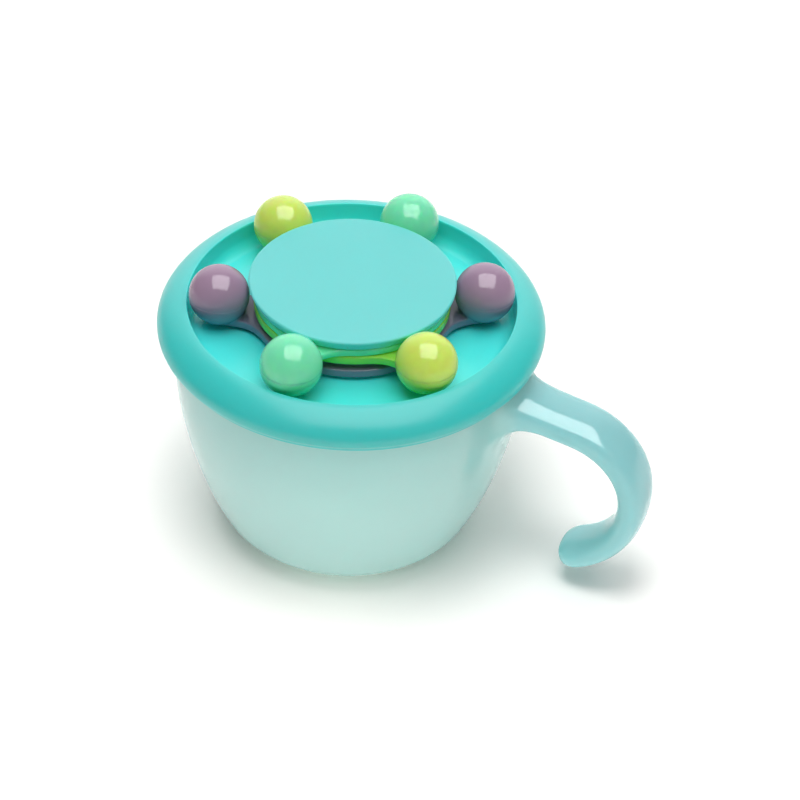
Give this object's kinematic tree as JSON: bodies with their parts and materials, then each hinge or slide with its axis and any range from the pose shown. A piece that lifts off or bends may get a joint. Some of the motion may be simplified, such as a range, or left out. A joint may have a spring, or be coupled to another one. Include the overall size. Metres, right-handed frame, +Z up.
{
  "type": "toddler snack container",
  "caption": "Translucent snack bowl with a hooked handle, soft finger trap, and a snap lid whose stacked rings turn and carry balls round a recessed track.",
  "frame": {"origin": "centre of the flat base, on the axis of the round bowl", "axes": "+Z up along the bowl's axis, +X towards the handle"},
  "size_m": [0.1448, 0.108, 0.087],
  "materials": {
    "cup_milky": "milky translucent polypropylene, semi-gloss",
    "trap_silicone": "soft silicone",
    "lid_teal": "satin moulded plastic",
    "cap_teal": "fine matte moulded plastic",
    "spinner_purple": "glossy moulded plastic",
    "spinner_lime": "glossy moulded plastic",
    "spinner_mint": "glossy moulded plastic"
  },
  "bodies": {
    "bowl": {"cup": "cup_milky"},
    "trap": {"finger_trap": "trap_silicone"},
    "lid": {"lid_shell": "lid_teal", "hub_cap": "cap_teal", "hub_retainer": "lid_teal"},
    "spinner_purple": {"ring_purple": "spinner_purple", "ball_purple_a_top": "spinner_purple", "ball_purple_a_bottom": "spinner_purple", "ball_purple_b_top": "spinner_purple", "ball_purple_b_bottom": "spinner_purple"},
    "spinner_lime": {"ring_lime": "spinner_lime", "ball_lime_a_top": "spinner_lime", "ball_lime_a_bottom": "spinner_lime", "ball_lime_b_top": "spinner_lime", "ball_lime_b_bottom": "spinner_lime"},
    "spinner_mint": {"ring_mint": "spinner_mint", "ball_mint_a_top": "spinner_mint", "ball_mint_a_bottom": "spinner_mint", "ball_mint_b_top": "spinner_mint", "ball_mint_b_bottom": "spinner_mint"}
  },
  "joints": [
    {"name": "lid_lift", "type": "slide", "parent": "bowl", "child": "lid", "axis": [0, 0, 1], "range_m": [0, 0.09]},
    {"name": "trap_lift", "type": "slide", "parent": "bowl", "child": "trap", "axis": [0, 0, 1], "range_m": [0, 0.045]},
    {"name": "purple_spin", "type": "hinge", "parent": "lid", "child": "spinner_purple", "pos_m": [0, 0, 0.0721], "axis": [0, 0, 1], "continuous": true},
    {"name": "lime_turn", "type": "hinge", "parent": "spinner_purple", "child": "spinner_lime", "pos_m": [0, 0, 0.0758], "axis": [0, 0, 1], "range_deg": [-15, 32]},
    {"name": "mint_turn", "type": "hinge", "parent": "spinner_purple", "child": "spinner_mint", "pos_m": [0, 0, 0.0783], "axis": [0, 0, 1], "range_deg": [-33, 15.5]}
  ],
  "couplings": [
    {"joint": "trap_lift", "follows": "lid_lift", "ratio": 0.5}
  ]
}
